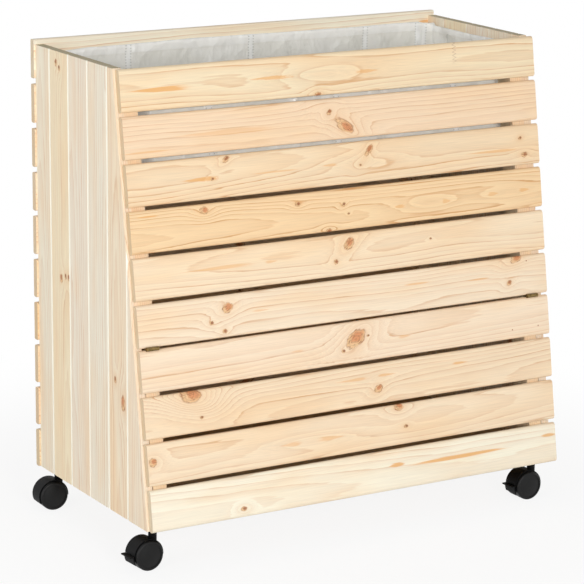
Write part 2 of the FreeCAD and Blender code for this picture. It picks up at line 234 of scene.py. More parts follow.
ringShape = {
    "sway": (0.0026, 0.012, 0.012),    # the rings wander slowly along the plank
    "swaySize": (0.0, 15.0, 20.0),
    "fine": (0.012, 0.25, 0.25),
    "fineShare": 0.5,
    "summer": (0.68, 0.93),            # shares of a year's ring
    "yearEnd": (0.94, 1.0),
    "breaks": (0.008, 0.06, 0.06),
    "breakEdge": (0.25, 0.65),
    "faintest": 0.4,
    "alongRing": (0.93, 1.0),
    "alongRingPaling": 0.5,
    "band": 0.25,
    "fibre": (0.02, 1.1, 1.1),
    "cloud": (0.004, 0.02, 0.02),
}


def makeRingGroup():
    group, given, out = newGroup(
        "pine rings",
        [("Point", "v"), ("Pith", "v"), ("Ring width", "f"), ("Taper", "f"), ("Seed", "f")],
        [("Line", "f"), ("Fibre", "f"), ("Cloud", "f")])
    shape, point, seed = ringShape, given["Point"], given["Seed"]
    wander = addNode(group, "ShaderNodeTexNoise", {"Vector": vecCalc(group, "MULTIPLY", point, shape["sway"]),
                     "W": seed, "Scale": 1.0, "Detail": 1.5}, noise_dimensions="4D").outputs["Color"]
    sway = vecCalc(group, "MULTIPLY", vecCalc(group, "SUBTRACT", wander, (0.5, 0.5, 0.5)), shape["swaySize"])
    swayed = vecCalc(group, "ADD", vecCalc(group, "SUBTRACT", point, given["Pith"]), sway)
    radius = vecCalc(group, "LENGTH", vecCalc(group, "MULTIPLY", swayed, (0.0, 1.0, 1.0)))
    tapered = calc(group, "MULTIPLY_ADD", splitXyz(group, point)[0], given["Taper"], radius)
    fine = calc(group, "MULTIPLY", noiseAt(group, point, shape["fine"], seed, 2.0), shape["fineShare"])
    phase = calc(group, "ADD", calc(group, "DIVIDE", tapered, given["Ring width"]), fine)
    part = calc(group, "FRACT", phase)
    # pale spring wood darkens slowly into summer wood, which ends sharply
    rise = smoothStep(group, part, *shape["summer"])
    fall = fadeOut(group, part, *shape["yearEnd"])
    # some years are fainter, and so are lengths of each line
    year = calc(group, "ADD", calc(group, "FLOOR", phase), seed)
    chance = addNode(group, "ShaderNodeTexWhiteNoise", {"W": year}, noise_dimensions="1D").outputs["Value"]
    broken = smoothStep(group, noiseAt(group, point, shape["breaks"], seed, 3.0), *shape["breakEdge"])
    atLeast = lambda value: calc(group, "MULTIPLY_ADD", value, 1 - shape["faintest"], shape["faintest"])
    strong = calc(group, "MULTIPLY", atLeast(chance), atLeast(broken))
    # paler where the cut runs along a ring
    level = calc(group, "ABSOLUTE", splitXyz(group, swayed)[2])
    alongRing = smoothStep(group, calc(group, "DIVIDE", level, radius), *shape["alongRing"])
    strong = calc(group, "MULTIPLY", strong, calc(group, "MULTIPLY_ADD", alongRing, -shape["alongRingPaling"], 1.0))
    line = calc(group, "MULTIPLY", calc(group, "MULTIPLY", rise, fall), strong)
    band = calc(group, "MULTIPLY", calc(group, "MULTIPLY", part, fall), shape["band"])
    group.links.new(calc(group, "MAXIMUM", line, band), out["Line"])
    group.links.new(noiseAt(group, point, shape["fibre"], seed, 3.0), out["Fibre"])
    group.links.new(noiseAt(group, point, shape["cloud"], seed, 2.0), out["Cloud"])
    return group


knotGroup = makeKnotGroup()
ringGroup = makeRingGroup()

pineFinish = {
    "grain": (208, 144, 80),       # summer wood
    "flush": (250, 214, 168),      # warmer patches
    "flushEdge": (0.4, 0.75),
    "flushShare": 0.5,
    "fibreShade": 0.3,
    "knot": (221, 146, 96),
    "smallKnot": (138, 78, 42),
    "paleKnot": (243, 202, 152),
    "knotRim": (160, 92, 50),
    "knotRadii": (3, 6),           # of small dark knots and of large ones
    "haloShare": 0.26,
    "coreShare": 0.9,
    "rimShare": 0.75,
    "resin": (238, 180, 112),
    "endGrain": (198, 180, 148),
    "endShade": 0.6,
    "endRings": 0.6,
    "shadedRimEnd": (163, 155, 120),     # sawn tops of the side boards: greyed end grain, darkened further with painted shade
    "sawnEdge": (0.8, 0.95),       # how squarely a sawn end faces along the grain
    "paleBevel": (255, 250, 236),   # bevelled edges of the side boards, painted paler than the face
    "bevelFrom": (0.55, 0.66),
    "bevelTo": (0.76, 0.9),
    "roughness": (0.5, 0.66),
    "specular": 0.35,
    "bumpDepth": 0.12 * mm,
    "bumpStrength": 0.7,
    "bumpShares": (0.6, 0.5),      # of the fibre and of the ring lines
}
resinShape = {"width": 0.6, "leastWidth": 0.1, "narrowing": 0.45, "uneven": 1.2, "edge": (0.6, 1.1)}
pinShape = {"scale": (0.7, 0.7, 0), "edge": (0.7, 1.1), "share": 0.8}
fingerShape = {"pitch": 3.0, "steepness": 2.4, "glue": (0.4, 1.2), "openAbove": (-4.0, 6.0), "share": 0.45}


def pineTone(name):
    return srgb(*pineFinish[name])


def knotTone(radius):
    low, high = pineFinish["knotRadii"]
    share = min(1, max(0, (radius - low) / (high - low)))
    pairs = zip(pineFinish["smallKnot"], pineFinish["knot"])
    return srgb(*(small + share * (large - small) for small, large in pairs))


def grainTurn(along, outward):
    # the plank's own axes: along the grain, across it, and out of its face
    length, face = Vector(along).normalized(), Vector(outward).normalized()
    return Matrix((length, face.cross(length), face)).transposed().to_euler()


def bendGrain(tree, plank, start):
    point, halo, knots = start, None, []
    for number, (middle, level, radius, stretch, tilt, *lift) in enumerate(plank["knots"]):
        given = {"Start": start, "Point": point, "Knot": (middle, level, 0), "Radius": radius, "Stretch": stretch,
                 "Tilt": math.radians(tilt), "Lift": (lift or [plank["lift"]])[0] * radius,
                 "Seed": plank["seed"] + knotShape["seedStep"] * number}
        knot = useGroup(tree, knotGroup, given)
        point = knot["Point"]
        halo = knot["Halo"] if halo is None else calc(tree, "MAXIMUM", halo, knot["Halo"])
        knots.append((knot, knotTone(radius)))
    for middle, level, radius, stretch, lift in plank.get("swells", ()):
        # a swell under the face shows as closed rings
        given = {"Start": start, "Point": point, "Knot": (middle, level, 0), "Radius": radius, "Stretch": stretch,
                 "Lift": lift * radius, "Seed": plank["seed"] + middle}
        point = useGroup(tree, knotGroup, given)["Point"]
    return point, halo, knots


def paintResin(tree, colour, plank, start, fibre):
    for middle, level, halfLength, halfWidth, strength, tip in plank.get("resin", ()):
        apart = vecCalc(tree, "SUBTRACT", start, (middle, level, 0))
        run = splitXyz(tree, vecCalc(tree, "MULTIPLY", apart, (1 / halfLength, 1 / halfWidth, 0)))
        # narrow towards its tip: -1 on the left, 1 on the right
        width = calc(tree, "MULTIPLY_ADD", run[0], -resinShape["narrowing"] * tip, resinShape["width"])
        width = calc(tree, "MAXIMUM", width, resinShape["leastWidth"])
        shape = joinXyz(tree, run[0], calc(tree, "DIVIDE", run[1], width), 0)
        spot = calc(tree, "ADD", vecCalc(tree, "LENGTH", shape), centred(tree, fibre, resinShape["uneven"]))
        colour = paint(tree, colour, fadeOut(tree, spot, *resinShape["edge"]), strength, pineTone("resin"))
    return colour


def paintKnots(tree, colour, halo, knots):
    if knots:
        colour = paint(tree, colour, halo, pineFinish["haloShare"], pineTone("resin"))
    for knot, tone in knots:
        heart = mixColour(tree, knot["Heart"], pineTone("paleKnot"), tone)
        ringed = mixColour(tree, knot["Mottle"], heart, pineTone("smallKnot"))
        colour = paint(tree, colour, knot["Core"], pineFinish["coreShare"], ringed)
        colour = paint(tree, colour, knot["Rim"], pineFinish["rimShare"], pineTone("knotRim"))
    return colour


def paintPins(tree, colour, plank, start):
    # pin knots, no more than dots
    for middle, level in plank.get("pins", ()):
        apart = vecCalc(tree, "MULTIPLY", vecCalc(tree, "SUBTRACT", start, (middle, level, 0)), pinShape["scale"])
        dot = fadeOut(tree, vecCalc(tree, "LENGTH", apart), *pinShape["edge"])
        colour = paint(tree, colour, dot, pinShape["share"], pineTone("knotRim"))
    return colour


def paintFingerJoint(tree, colour, plank, start):
    # zigzag glue line where two lengths were joined, closed in the lower half
    pitch, steepness = fingerShape["pitch"], fingerShape["steepness"]
    apart = splitXyz(tree, vecCalc(tree, "SUBTRACT", start, (plank["fingerJoint"], 0, 0)))
    zigzag = centred(tree, calc(tree, "PINGPONG", apart[1], pitch), steepness, pitch)
    off = calc(tree, "ABSOLUTE", calc(tree, "SUBTRACT", apart[0], zigzag))
    glue = fadeOut(tree, off, *fingerShape["glue"])
    glue = calc(tree, "MULTIPLY", glue, smoothStep(tree, apart[1], *fingerShape["openAbove"]))
    return paint(tree, colour, glue, fingerShape["share"], pineTone("smallKnot"))


def paintEnds(tree, colour, plank, line, along, outward):
    # sawn ends are darker end grain, and on the side boards' tops the darker tone also holds painted shade; bevels
    # across the face are painted paler
    finish = pineFinish
    normal = addNode(tree, "ShaderNodeTexCoord").outputs["Normal"]

    def facing(way):
        both = {0: normal, 1: Vector(way).normalized()}
        level = addNode(tree, "ShaderNodeVectorMath", both, operation="DOT_PRODUCT").outputs["Value"]
        return calc(tree, "ABSOLUTE", level)

    sawn = smoothStep(tree, facing(along), *finish["sawnEdge"])
    ends = paint(tree, pineTone(plank.get("endTone", "endGrain")), line, finish["endRings"], pineTone("grain"))
    colour = paint(tree, colour, sawn, plank.get("endShade", finish["endShade"]), ends)
    # bevel facets are painted a paler tone, chosen by their angle to the face
    if plank.get("bevels"):
        tilted = facing(outward)
        bevel = calc(tree, "MULTIPLY", smoothStep(tree, tilted, *finish["bevelFrom"]),
                     fadeOut(tree, tilted, *finish["bevelTo"]))
        colour = mixColour(tree, bevel, colour, pineTone("paleBevel"))
    return colour


def pineMaterial(name, place, along, outward, plank):
    material, tree, shader = startMaterial(name)
    finish = pineFinish
    start = objectPoint(tree, place, grainTurn(along, outward))
    point, halo, knots = bendGrain(tree, plank, start)
    rings = useGroup(tree, ringGroup, {"Point": point, "Pith": (0, *plank["pith"]), "Taper": plank["taper"],
                                       "Ring width": plank["ringWidth"], "Seed": plank["seed"]})
    flush = smoothStep(tree, rings["Cloud"], *finish["flushEdge"])
    colour = paint(tree, srgb(*plank["tone"]), flush, finish["flushShare"], pineTone("flush"))
    colour = paint(tree, colour, rings["Line"], plank["contrast"], pineTone("grain"))
    fibre = calc(tree, "MULTIPLY_ADD", rings["Fibre"], finish["fibreShade"], 1 - finish["fibreShade"] / 2)
    shade = addNode(tree, "ShaderNodeCombineColor", {0: fibre, 1: fibre, 2: fibre}).outputs[0]
    colour = mixColour(tree, 1.0, colour, shade, "MULTIPLY")
    colour = paintResin(tree, colour, plank, start, rings["Fibre"])
    colour = paintKnots(tree, colour, halo, knots)
    colour = paintPins(tree, colour, plank, start)
    if "fingerJoint" in plank:
        colour = paintFingerJoint(tree, colour, plank, start)
    colour = paintEnds(tree, colour, plank, rings["Line"], along, outward)
    tree.links.new(colour, shader.inputs["Base Color"])
    low, high = finish["roughness"]
    tree.links.new(calc(tree, "MULTIPLY_ADD", rings["Fibre"], high - low, low), shader.inputs["Roughness"])
    shader.inputs["Specular IOR Level"].default_value = finish["specular"]
    fibreShare, lineShare = finish["bumpShares"]
    height = calc(tree, "MULTIPLY_ADD", rings["Fibre"], fibreShare, calc(tree, "MULTIPLY", rings["Line"], lineShare))
    setBump(tree, shader, height, finish["bumpDepth"], finish["bumpStrength"])
    return material


def middleOf(name):
    low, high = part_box(name)
    return (low + high) / 2


# front slats from the top, in mm from the left end and above the middle of each
# a knot has a radius, a stretch, a tilt in degrees and a lift of the rings, and a swell the same without a tilt
# resin has a half length, a half width, a strength and a tip
slatLength = 790
slatLift = 1.1
rearSeed = 20
frontSlats = {
    "front_slat_1": {"tone": (246, 227, 193), "pith": (4, -34), "ringWidth": 4.4, "taper": 0.014, "contrast": 0.85,
                     "knots": [(358, -33, 5, 1.2, 0)],
                     "resin": [(66, -2, 58, 7, 0.9, -1), (268, 1, 44, 5, 0.7, -1), (455, -1, 24, 5, 0.6, 1)],
                     "swells": [(362, 0, 8, 3.6, 1.3)], "fingerJoint": 628},
    "front_slat_2": {"tone": (248, 221, 189), "pith": (-34, -48), "ringWidth": 4.6, "taper": -0.01, "contrast": 0.6,
                     "knots": [(377, 12, 4, 1.4, 40), (405, -13, 9, 2.3, -35, 1.6)],
                     "resin": [(180, -4, 100, 8, 0.4, -1), (40, -24, 50, 3, 0.5, 0)]},
    "front_slat_3": {"tone": (247, 224, 190), "pith": (16, -52), "ringWidth": 4.4, "taper": 0.016, "contrast": 0.85,
                     "knots": [(179, 27, 4, 1.9, 35), (152, -2, 2.5, 1.3, 0), (448, 18, 5, 2.2, 50),
                               (430, -5, 2, 1.2, 0), (752, 12, 3, 1.3, 20), (759, -17, 4.5, 1.4, 0)],
                     "resin": [(130, -1, 36, 6, 0.8, -1), (270, -1, 50, 3, 0.5, 0), (690, -6, 60, 4, 0.6, -1),
                               (370, 0, 16, 4, 0.5, -1)],
                     "swells": [(448, -2, 7, 3.6, 0.9)]},
    "front_slat_4": {"tone": (249, 218, 174), "pith": (-10, -34), "ringWidth": 3.6, "taper": 0.016, "contrast": 0.95,
                     "knots": [(133, 24, 6, 1.3, 0), (306, 17, 3.8, 1.4, 0), (393, 8, 3.2, 1.3, 30),
                               (401, -8, 2, 1.2, 0), (362, -33, 4.5, 1.2, 0)],
                     "resin": [(500, -6, 12, 5, 0.6, -1), (595, -6, 10, 6, 0.5, 1), (690, -3, 12, 6, 0.5, 1),
                               (755, -2, 12, 5, 0.6, 1), (32, 24, 20, 2.5, 0.8, 0)],
                     "swells": [(562, -5, 6, 3.4, 1.4), (705, -3, 6, 3.6, 0.9)]},
    "front_slat_5": {"tone": (251, 230, 199), "pith": (14, -48), "ringWidth": 4.2, "taper": -0.012, "contrast": 0.7,
                     "knots": [(398, 17, 8, 1.5, 40), (371, -10, 4, 1.1, 0, 0.4), (558, 9, 2, 1.2, 0)],
                     "resin": [(150, 4, 70, 5, 0.5, -1), (250, 4, 12, 4, 0.5, 1)]},
    "front_slat_6": {"tone": (251, 232, 205), "pith": (-36, -50), "ringWidth": 4.8, "taper": 0.010, "contrast": 0.7,
                     "knots": [(163, 13, 8, 1.3, 30), (132, -8, 3.5, 1.2, 0), (155, -24, 4, 1.2, 0),
                               (729, 30, 6, 2.0, 20), (712, -9, 4.5, 1.2, 30)],
                     "resin": [(525, 11, 28, 3.5, 0.6, 0), (225, 2, 18, 3, 0.5, 1), (645, 4, 26, 3, 0.5, -1)],
                     "pins": [(750, 25)]},
    "flap_slat_1": {"tone": (252, 231, 204), "pith": (22, -50), "ringWidth": 4.4, "taper": 0.013, "contrast": 0.75,
                    "knots": [(399, 5, 13, 1.6, 35, 1.4), (374, -12, 3, 1.2, 0, 0.3), (423, 8, 2, 1.5, 0, 0.3)],
                    "resin": [(495, -2, 14, 4, 0.5, 1), (285, -1, 14, 3, 0.4, -1)], "pins": [(713, -18), (767, -17)]},
    "flap_slat_2": {"tone": (250, 228, 197), "pith": (-24, -42), "ringWidth": 4.4, "taper": -0.015, "contrast": 0.85,
                    "knots": [(84, 29, 13, 1.4, -20, 2.6), (102, -10, 2.5, 1.3, 0, 0.3), (437, -8, 6, 1.4, 30)],
                    "resin": [(385, 12, 36, 4, 0.5, -1), (455, 13, 20, 4, 0.6, 1), (602, 14, 16, 4, 0.7, 1)],
                    "swells": [(425, 12, 5, 4.0, 0.9)]},
    "flap_slat_3": {"tone": (251, 230, 200), "pith": (8, -46), "ringWidth": 4.2, "taper": 0.014, "contrast": 0.75,
                    "knots": [(9, 5, 7, 1.0, 0), (474, 31, 7, 1.2, 0), (486, -4, 3, 1.4, 0)],
                    "resin": [(262, -3, 22, 6, 0.5, -1), (340, -3, 28, 6, 0.5, 1)],
                    "swells": [(300, -3, 6, 4.6, 1.3)]},
    "flap_slat_4": {"tone": (255, 248, 227), "pith": (-16, -56), "ringWidth": 5.0, "taper": 0.011, "contrast": 0.7,
                    "knots": [(167, -20, 4, 1.4, 0, 2.4)],
                    "resin": [(464, 8, 16, 6, 0.9, 0), (585, 4, 102, 6, 0.9, 0), (775, 14, 16, 5, 0.8, 0)]},
}


def slatPlank(plank, seed, flip):
    # a flipped plank is the same stock turned end for end
    side = -1 if flip else 1
    fromMiddle = lambda along: side * (along - slatLength / 2)
    moved = {key: [(fromMiddle(spot[0]), *spot[1:]) for spot in plank.get(key, ())]
             for key in ("knots", "resin", "pins", "swells")}
    joint = {"fingerJoint": fromMiddle(plank["fingerJoint"])} if "fingerJoint" in plank else {}
    return {**plank, **moved, **joint, "seed": seed, "lift": slatLift}


frontRun = middleOf("flap_slat_4") - middleOf("front_slat_1")
slope = math.atan2(-frontRun.y, -frontRun.z)
frontFace = (0, -math.cos(slope), math.sin(slope))
for number, (name, plank) in enumerate(frontSlats.items()):
    dress(name, pineMaterial("pine " + name, middleOf(name), (1, 0, 0), frontFace, slatPlank(plank, number, False)))
for number, plank in enumerate(reversed(frontSlats.values())):
    name = f"rear_slat_{number + 1}"
    dress(name, pineMaterial("pine " + name, middleOf(name), (-1, 0, 0), (0, 1, 0),
                             slatPlank(plank, rearSeed + number, number % 2 == 0)))
print("slats dressed")

# side boards: a knot is mm above the middle of the board and mm to the rear of it, on the left wall
# the side boards' sawn ends take the dark rim end tone strongly, which holds painted shade of their tops
boardLook = {"taper": 0.008, "lift": 0.9, "ringWidth": 3.8, "contrast": 0.72, "endShade": 0.9, "endTone": "shadedRimEnd",
             "bevels": True, "firstSeed": 40, "seedStep": 10}
knotsBelow = -100    # the right wall has knots only in its lower part
boardPlanks = {
    "board_1": {"tone": (247, 240, 222), "pith": (-40, -40), "knots": []},
    "board_2": {"tone": (246, 236, 218), "pith": (30, -46), "knots": []},
    "board_3": {"tone": (250, 235, 204), "pith": (-22, -40),
                "knots": [(345, 12, 4, 1.5, 0), (338, 0, 3.5, 1.3, 0), (-13, 0, 5, 1.5, 0), (-7, -16, 3.5, 1.4, 0),
                          (-7, -28, 4, 1.4, 0)]},
    "board_4": {"tone": (247, 239, 219), "pith": (14, -32), "knots": []},
    "slope_board_1": {"tone": (248, 233, 208), "pith": (6, -30), "contrast": 0.85,
                      "knots": [(-139, 12, 4, 1.5, 0), (-172, -15, 7, 2.0, 0)]},
    "slope_board_2": {"tone": (249, 238, 218), "pith": (-28, -44), "knots": []},
}
for sideNumber, (side, outward) in enumerate((("left", (-1, 0, 0)), ("right", (1, 0, 0)))):
    for number, (kind, plank) in enumerate(boardPlanks.items()):
        name = f"{side}_{kind}"
        seed = boardLook["firstSeed"] + boardLook["seedStep"] * sideNumber + number
        grain = {**boardLook, **plank, "seed": seed}
        if side == "right":
            grain["knots"] = [knot for knot in plank["knots"] if knot[0] < knotsBelow]
        dress(name, pineMaterial("pine " + name, middleOf(name), (0, 0, 1), outward, grain))
print("side boards dressed")

# battens and cleats, of plainer wood
battenLook = {"tone": (252, 230, 196), "taper": 0.006, "lift": 0.8, "ringWidth": 3.2, "contrast": 0.6, "knots": [],
              "firstSeed": 70, "pith": (9, -26), "pithStep": -4}
slopeAlong = (0, math.sin(slope), math.cos(slope))
battens = {
    "front_batten_left": (slopeAlong, (1, 0, 0)), "front_batten_right": (slopeAlong, (-1, 0, 0)),
    "flap_batten_left": (slopeAlong, (1, 0, 0)), "flap_batten_right": (slopeAlong, (-1, 0, 0)),
    "rear_batten_left": ((0, 0, 1), (1, 0, 0)), "rear_batten_right": ((0, 0, 1), (-1, 0, 0)),
    "tray_cleat_left": ((0, 1, 0), (1, 0, 0)), "tray_cleat_right": ((0, 1, 0), (-1, 0, 0)),
}
for number, (name, (along, outward)) in enumerate(battens.items()):
    across, deep = battenLook["pith"]
    pith = (across + battenLook["pithStep"] * number, deep)
    grain = {**battenLook, "seed": battenLook["firstSeed"] + number, "pith": pith}
    dress(name, pineMaterial("pine " + name, middleOf(name), along, outward, grain))
print("battens dressed")

# sheet board of the tray floor and the base
sheetBoard = {
    "tone": (214, 182, 134),
    "band": (186, 148, 98),
    "figure": (0.006, 0.03, 0.02),
    "waves": 46.0,
    "pores": (0.05, 0.9, 0.9),
    "poreShare": 0.8,
    "veneer": 4.8,                 # thickness of two veneers in mm
    "veneerShare": 0.14,
    "roughness": 0.6,
    "bumpDepth": 0.1 * mm,
    "bumpStrength": 0.5,
}


def sheetBoardMaterial():
    material, tree, shader = startMaterial("plywood sheet")
    look, point = sheetBoard, objectPoint(tree)
    tone, band = srgb(*look["tone"]), srgb(*look["band"])
    figure = noiseAt(tree, point, look["figure"], 3.0, 4.0)
    waves = calc(tree, "SINE", calc(tree, "MULTIPLY", figure, look["waves"]))
    pores = noiseAt(tree, point, look["pores"], 5.0, 3.0)
    amount = calc(tree, "MULTIPLY", calc(tree, "MULTIPLY_ADD", waves, 0.5, 0.5), pores)
    # veneers show as bands on the edges
    layer = calc(tree, "FRACT", calc(tree, "DIVIDE", splitXyz(tree, point)[2], look["veneer"]))
    colour = paint(tree, tone, amount, look["poreShare"], band)
    colour = paint(tree, colour, calc(tree, "GREATER_THAN", layer, 0.5), look["veneerShare"], band)
    tree.links.new(colour, shader.inputs["Base Color"])
    shader.inputs["Roughness"].default_value = look["roughness"]
    setBump(tree, shader, pores, look["bumpDepth"], look["bumpStrength"])
    return material


plywood = sheetBoardMaterial()
for name in ("tray_floor", "base_board"):
    dress(name, plywood)

# metal and plastic
metals = {
    "brass": {"tone": (138, 116, 74), "roughness": 0.46, "stain": (72, 58, 38)},
    "zinc": {"tone": (186, 184, 178), "roughness": 0.3, "stain": (128, 126, 122)},
    "steel": {"tone": (176, 177, 180), "roughness": 0.26, "stain": (112, 112, 114)},
}
metalGrain = {"patches": (0.25, 0.25, 0.25), "stainEdge": (0.45, 0.8), "brushed": (0.3, 6.0, 6.0),
              "roughnessSpread": 0.22, "bumpDepth": 0.02 * mm, "bumpStrength": 0.5}


def metalMaterial(name):
    look = metals[name]
    material, tree, shader = startMaterial(name)
    point = objectPoint(tree)
    patches = noiseAt(tree, point, metalGrain["patches"], 1.0, 4.0)
    brushed = noiseAt(tree, point, metalGrain["brushed"], 2.0, 2.0)
    stained = smoothStep(tree, patches, *metalGrain["stainEdge"])
    colour = mixColour(tree, stained, srgb(*look["tone"]), srgb(*look["stain"]))
    tree.links.new(colour, shader.inputs["Base Color"])
    shader.inputs["Metallic"].default_value = 1.0
    spread = metalGrain["roughnessSpread"]
    rough = calc(tree, "MULTIPLY_ADD", brushed, spread, look["roughness"] - spread / 2)
    tree.links.new(rough, shader.inputs["Roughness"])
    setBump(tree, shader, brushed, metalGrain["bumpDepth"], metalGrain["bumpStrength"])
    return material


blackPlastic = {
    "hood": {"tone": (5, 5, 6), "roughness": 0.5, "shine": 0.14},
    "wheel": {"tone": (15, 15, 15), "roughness": 0.42, "shine": 0.24},
}
plasticGrain = {"grit": (2.4, 2.4, 2.4), "gritRoughness": 0.1, "scuffs": (0.2, 0.2, 0.5), "scuffEdge": (0.55, 0.8),
                "scuffTone": (34, 34, 34), "scuffShare": 0.35, "scuffRoughness": 0.16,
                "bumpDepth": 0.03 * mm, "bumpStrength": 0.6}


def plasticMaterial(name):
    look = blackPlastic[name]
    material, tree, shader = startMaterial("black plastic " + name)
    point = objectPoint(tree)
    grit = noiseAt(tree, point, plasticGrain["grit"], 1.0, 3.0)
    scuffs = smoothStep(tree, noiseAt(tree, point, plasticGrain["scuffs"], 2.0, 5.0), *plasticGrain["scuffEdge"])
    tone, scuffTone = srgb(*look["tone"]), srgb(*plasticGrain["scuffTone"])
    colour = paint(tree, tone, scuffs, plasticGrain["scuffShare"], scuffTone)
    tree.links.new(colour, shader.inputs["Base Color"])
    rough = calc(tree, "MULTIPLY_ADD", scuffs, plasticGrain["scuffRoughness"], look["roughness"])
    rough = calc(tree, "MULTIPLY_ADD", grit, plasticGrain["gritRoughness"], rough)
    tree.links.new(rough, shader.inputs["Roughness"])
    shader.inputs["Specular IOR Level"].default_value = look["shine"]
    setBump(tree, shader, grit, plasticGrain["bumpDepth"], plasticGrain["bumpStrength"])
    return material


brass, zinc, steel = metalMaterial("brass"), metalMaterial("zinc"), metalMaterial("steel")
hoodPlastic, wheelPlastic = plasticMaterial("hood"), plasticMaterial("wheel")
for name in nodes:
    if name in ("hinge_fixed_leaves", "hinge_flap_leaves", "hinge_pins"):
        dress(name, brass)
    elif name.startswith("hinge"):
        dress(name, zinc)
    elif name == "caster_stems":
        dress(name, steel)
    elif name.endswith("wheels"):
        dress(name, wheelPlastic)
    elif name.startswith("caster"):
        dress(name, hoodPlastic)
print("hardware dressed")

# film liner of the planting tray, hung from the rim
liner = {
    "fromWood": 1.0 * mm,
    "thickness": 0.4 * mm,
    "cell": 6 * mm,
    "frontReach": 30 * mm,         # forward of the battens' backs
    "frontEase": 28 * mm,
    "hem": 18 * mm,
    "fold": 4.2 * mm,
    "crinkle": 1.0 * mm,
    "dip": 5 * mm,
    "seams": (-213, 25, 257, 368), # welded seams of the rear wall, mm to the right of the middle
    "tone": (241, 239, 231),
    "hemTone": (254, 253, 249),
    "crease": (255, 255, 252),
    "weld": (168, 165, 156),
    "roughness": 0.32,
}


def spreadCells(value, marks, cells):
    # even grid lines moved so that each mark has a line on it
    for low, high, count in zip(marks, marks[1:], cells):
        if value <= count + 0.01:
            return low + (high - low) * value / count
        value -= count
    return marks[-1]


def linerShape():
    low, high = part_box("liner")
    postLow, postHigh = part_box("rear_batten_left")
    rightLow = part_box("rear_batten_right")[0]
    off = liner["fromWood"]
    lean = math.tan(slope)
    xMarks = [low.x + off, postHigh.x + off, rightLow.x - off, high.x - off]
    yMarks = [low.y + off, postLow.y - off, high.y - off]
    xCells = [max(2, round((b - a) / liner["cell"])) for a, b in zip(xMarks, xMarks[1:])]
    yCells = [max(2, round((b - a) / liner["cell"])) for a, b in zip(yMarks, yMarks[1:])]
    floor = low.z + off
    bm = bmesh.new()
    bmesh.ops.create_grid(bm, x_segments=sum(xCells), y_segments=sum(yCells), size=0.5)
    for vert in bm.verts:
        column, row = (vert.co.x + 0.5) * sum(xCells), (vert.co.y + 0.5) * sum(yCells)
        vert.co = (spreadCells(column, xMarks, xCells), spreadCells(row, yMarks, yCells), floor)
    # the rear posts stand in the corners
    notched = []
    for face in bm.faces:
        middle = face.calc_center_median()
        if middle.y > yMarks[1] and not xMarks[1] < middle.x < xMarks[2]:
            notched.append(face)
    bmesh.ops.delete(bm, geom=notched, context="FACES")
    loop = [edge for edge in bm.edges if edge.is_boundary]
    rows = round((high.z - floor) / liner["cell"])
    step = (high.z - floor) / rows
    depth = yMarks[1] - yMarks[0]
    for row in range(rows):
        made = bmesh.ops.extrude_edge_only(bm, edges=loop)["geom"]
        loop = [item for item in made if isinstance(item, bmesh.types.BMEdge)]
        for vert in (item for item in made if isinstance(item, bmesh.types.BMVert)):
            vert.co.z += step
            if vert.co.y < yMarks[1]:
                vert.co.y = yMarks[1] - (yMarks[1] - vert.co.y) * (depth - step * lean) / depth
        depth -= step * lean
    bmesh.ops.recalc_face_normals(bm, faces=bm.faces)
    return bm, floor, high.z, (xMarks, yMarks)


def fillFront(bm, floor, marks):
    # between the battens the film lies against the front slats
    leftHigh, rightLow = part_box("front_batten_left")[1].x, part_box("front_batten_right")[0].x
    ease = lambda amount: (3 - 2 * amount) * amount * amount if 0 < amount < 1 else float(amount >= 1)
    for vert in bm.verts:
        front = marks[1][0] + (vert.co.z - floor) * math.tan(slope)
        if vert.co.y < front + 1 * mm:
            inside = min(vert.co.x - leftHigh, rightLow - vert.co.x) / liner["frontEase"]
            above = (vert.co.z - floor) / liner["frontEase"]
            vert.co.y -= liner["frontReach"] * ease(inside) * ease(above)


# folds of the film; noise scales are per metre
folds = {
    "hanging": (11, 11, 3),
    "crossing": (17, 17, 8),
    "crossingLean": (14, -9),      # the crossing folds slant as they rise
    "sharpness": 3,
    "crossingShare": 0.6,
    "crinkles": 60,
    "hemRoll": 1.0 * mm,
    "droops": 8,
    "droopLevel": 4,
    "nearWall": 8 * mm,
    "nearSide": 20 * mm,
    "cornerRun": 60 * mm,
    "droopPart": 3,                # only the top third of a wall droops
}


def crumple(bm, floor, top, marks):
    # slow folds hang down the walls, finer creases cross them, and the hem droops a little
    xMarks, yMarks = marks
    bm.normal_update()
    if sum(face.normal.z for face in bm.faces) < 0:
        bmesh.ops.reverse_faces(bm, faces=bm.faces)
        bm.normal_update()
    hangX, hangY, hangZ = folds["hanging"]
    crossX, crossY, crossZ = folds["crossing"]
    leanX, leanY = folds["crossingLean"]
    wall, side, part = yMarks[1] - folds["nearWall"], folds["nearSide"], folds["droopPart"]
    moves = []
    for vert in bm.verts:
        x, y, z = vert.co
        hang = noise.noise(Vector((x * hangX, y * hangY, z * hangZ)))
        crossing = noise.noise(Vector((x * crossX + z * leanX, y * crossY + z * leanY, z * crossZ)))
        small = noise.noise(vert.co * folds["crinkles"])
        sharp = max(0, 1 - folds["sharpness"] * abs(crossing)) ** 2
        inward = liner["fold"] * (max(0, hang) + folds["crossingShare"] * sharp) + liner["crinkle"] * abs(small)
        if top - z < liner["hem"]:
            inward += folds["hemRoll"]
        # the hem hangs lower along the side walls and in the left rear corner
        low = 0.5 + 0.5 * noise.noise(Vector((x * folds["droops"], y * folds["droops"], folds["droopLevel"])))
        if y < wall and not xMarks[0] + side < x < xMarks[3] - side:
            low += 1.0
        if y > wall:
            low += max(0, 1 - (x - xMarks[1]) / folds["cornerRun"])
        rise = max(0, (z - floor) / (top - floor) * part - (part - 1))
        moves.append((vert, vert.normal * inward - Vector((0, 0, liner["dip"] * low * rise))))
    for vert, move in moves:
        vert.co += move


